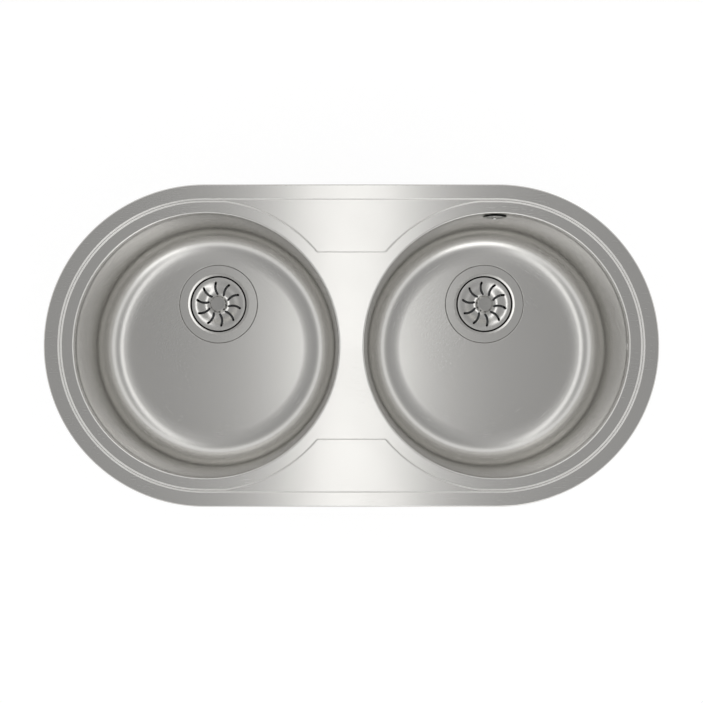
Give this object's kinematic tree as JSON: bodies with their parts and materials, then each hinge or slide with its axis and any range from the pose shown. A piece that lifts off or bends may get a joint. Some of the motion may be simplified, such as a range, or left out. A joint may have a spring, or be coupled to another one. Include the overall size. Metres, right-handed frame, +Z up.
{
  "type": "double bowl kitchen sink",
  "caption": "Inset stainless kitchen sink with round ends, paired round bowls, lift-out basket strainers, an overflow in one bowl and clips that grip a worktop.",
  "frame": {"origin": "middle of the sink in plan, on the face of the worktop that the rim lies on", "axes": "+X to the right along the sink, +Y to the back where the tap deck and drains are, +Z up"},
  "size_m": [0.83, 0.435, 0.2836],
  "materials": {
    "pressed_steel": "satin stainless sheet, brushed along the deck and round the bowls",
    "polished_steel": "bright turned stainless",
    "zinc_steel": "zinc plated steel",
    "black_rubber": "soft black rubber",
    "damping_pad": "stuck-on damping pad",
    "rim_foam": "closed-cell foam strip",
    "white_plastic": "moulded polypropylene",
    "grey_plastic": "moulded plastic"
  },
  "bodies": {
    "sink": {"deck": "pressed_steel", "rim_seal": "rim_foam", "left_bowl": "pressed_steel", "left_sound_pad": "damping_pad", "left_strainer_flange": "polished_steel", "left_clamp_screw": "polished_steel", "left_strainer_gasket": "black_rubber", "left_waste_gasket": "black_rubber", "left_waste_body": "white_plastic", "left_waste_spigot": "white_plastic", "left_outlet_nut": "grey_plastic", "right_bowl": "pressed_steel", "right_sound_pad": "damping_pad", "right_strainer_flange": "polished_steel", "right_clamp_screw": "polished_steel", "right_strainer_gasket": "black_rubber", "right_waste_gasket": "black_rubber", "right_waste_body": "white_plastic", "right_waste_spigot": "white_plastic", "right_outlet_nut": "grey_plastic", "left_inlet_cap": "grey_plastic", "overflow_rosette": "polished_steel", "overflow_screw": "polished_steel", "overflow_gasket": "black_rubber", "overflow_elbow": "white_plastic", "overflow_pipe": "white_plastic", "overflow_upper_nut": "grey_plastic", "overflow_lower_nut": "grey_plastic", "clip_bracket_1": "zinc_steel", "clip_bracket_2": "zinc_steel", "clip_bracket_3": "zinc_steel", "clip_bracket_4": "zinc_steel", "clip_bracket_5": "zinc_steel", "clip_bracket_6": "zinc_steel", "clip_bracket_7": "zinc_steel", "clip_bracket_8": "zinc_steel"},
    "left_basket_core": {"left_basket_stem": "grey_plastic", "left_basket_seal": "black_rubber"},
    "left_basket": {"left_basket_plate": "polished_steel", "left_basket_knob": "polished_steel"},
    "right_basket_core": {"right_basket_stem": "grey_plastic", "right_basket_seal": "black_rubber"},
    "right_basket": {"right_basket_plate": "polished_steel", "right_basket_knob": "polished_steel"},
    "clip_1_screw": {"clip_screw_1": "zinc_steel"},
    "clip_1_claw": {"clip_claw_1": "zinc_steel"},
    "clip_2_screw": {"clip_screw_2": "zinc_steel"},
    "clip_2_claw": {"clip_claw_2": "zinc_steel"},
    "clip_3_screw": {"clip_screw_3": "zinc_steel"},
    "clip_3_claw": {"clip_claw_3": "zinc_steel"},
    "clip_4_screw": {"clip_screw_4": "zinc_steel"},
    "clip_4_claw": {"clip_claw_4": "zinc_steel"},
    "clip_5_screw": {"clip_screw_5": "zinc_steel"},
    "clip_5_claw": {"clip_claw_5": "zinc_steel"},
    "clip_6_screw": {"clip_screw_6": "zinc_steel"},
    "clip_6_claw": {"clip_claw_6": "zinc_steel"},
    "clip_7_screw": {"clip_screw_7": "zinc_steel"},
    "clip_7_claw": {"clip_claw_7": "zinc_steel"},
    "clip_8_screw": {"clip_screw_8": "zinc_steel"},
    "clip_8_claw": {"clip_claw_8": "zinc_steel"}
  },
  "joints": [
    {"name": "left_basket_lift", "type": "slide", "parent": "sink", "child": "left_basket_core", "axis": [0, 0, 1], "range_m": [0, 0.24]},
    {"name": "left_basket_turn", "type": "hinge", "parent": "left_basket_core", "child": "left_basket", "pos_m": [-0.196, 0.064, -0.18], "axis": [0, 0, 1], "continuous": true},
    {"name": "right_basket_lift", "type": "slide", "parent": "sink", "child": "right_basket_core", "axis": [0, 0, 1], "range_m": [0, 0.24]},
    {"name": "right_basket_turn", "type": "hinge", "parent": "right_basket_core", "child": "right_basket", "pos_m": [0.196, 0.064, -0.18], "axis": [0, 0, 1], "continuous": true},
    {"name": "clip_1_rise", "type": "slide", "parent": "sink", "child": "clip_1_screw", "axis": [0, 0, 1], "range_m": [0, 0.014]},
    {"name": "clip_1_swing", "type": "hinge", "parent": "clip_1_screw", "child": "clip_1_claw", "pos_m": [0.11, 0.1945, -0.05], "axis": [0, 0, 1], "range_deg": [0, 90]},
    {"name": "clip_2_rise", "type": "slide", "parent": "sink", "child": "clip_2_screw", "axis": [0, 0, 1], "range_m": [0, 0.014]},
    {"name": "clip_2_swing", "type": "hinge", "parent": "clip_2_screw", "child": "clip_2_claw", "pos_m": [0.3465, 0.12502, -0.05], "axis": [0, 0, 1], "range_deg": [0, 90]},
    {"name": "clip_3_rise", "type": "slide", "parent": "sink", "child": "clip_3_screw", "axis": [0, 0, 1], "range_m": [0, 0.014]},
    {"name": "clip_3_swing", "type": "hinge", "parent": "clip_3_screw", "child": "clip_3_claw", "pos_m": [-0.11, 0.1945, -0.05], "axis": [0, 0, 1], "range_deg": [0, 90]},
    {"name": "clip_4_rise", "type": "slide", "parent": "sink", "child": "clip_4_screw", "axis": [0, 0, 1], "range_m": [0, 0.014]},
    {"name": "clip_4_swing", "type": "hinge", "parent": "clip_4_screw", "child": "clip_4_claw", "pos_m": [-0.3465, 0.12502, -0.05], "axis": [0, 0, 1], "range_deg": [0, 90]},
    {"name": "clip_5_rise", "type": "slide", "parent": "sink", "child": "clip_5_screw", "axis": [0, 0, 1], "range_m": [0, 0.014]},
    {"name": "clip_5_swing", "type": "hinge", "parent": "clip_5_screw", "child": "clip_5_claw", "pos_m": [0.11, -0.1945, -0.05], "axis": [0, 0, 1], "range_deg": [0, 90]},
    {"name": "clip_6_rise", "type": "slide", "parent": "sink", "child": "clip_6_screw", "axis": [0, 0, 1], "range_m": [0, 0.014]},
    {"name": "clip_6_swing", "type": "hinge", "parent": "clip_6_screw", "child": "clip_6_claw", "pos_m": [0.3465, -0.12502, -0.05], "axis": [0, 0, 1], "range_deg": [0, 90]},
    {"name": "clip_7_rise", "type": "slide", "parent": "sink", "child": "clip_7_screw", "axis": [0, 0, 1], "range_m": [0, 0.014]},
    {"name": "clip_7_swing", "type": "hinge", "parent": "clip_7_screw", "child": "clip_7_claw", "pos_m": [-0.11, -0.1945, -0.05], "axis": [0, 0, 1], "range_deg": [0, 90]},
    {"name": "clip_8_rise", "type": "slide", "parent": "sink", "child": "clip_8_screw", "axis": [0, 0, 1], "range_m": [0, 0.014]},
    {"name": "clip_8_swing", "type": "hinge", "parent": "clip_8_screw", "child": "clip_8_claw", "pos_m": [-0.3465, -0.12502, -0.05], "axis": [0, 0, 1], "range_deg": [0, 90]}
  ]
}
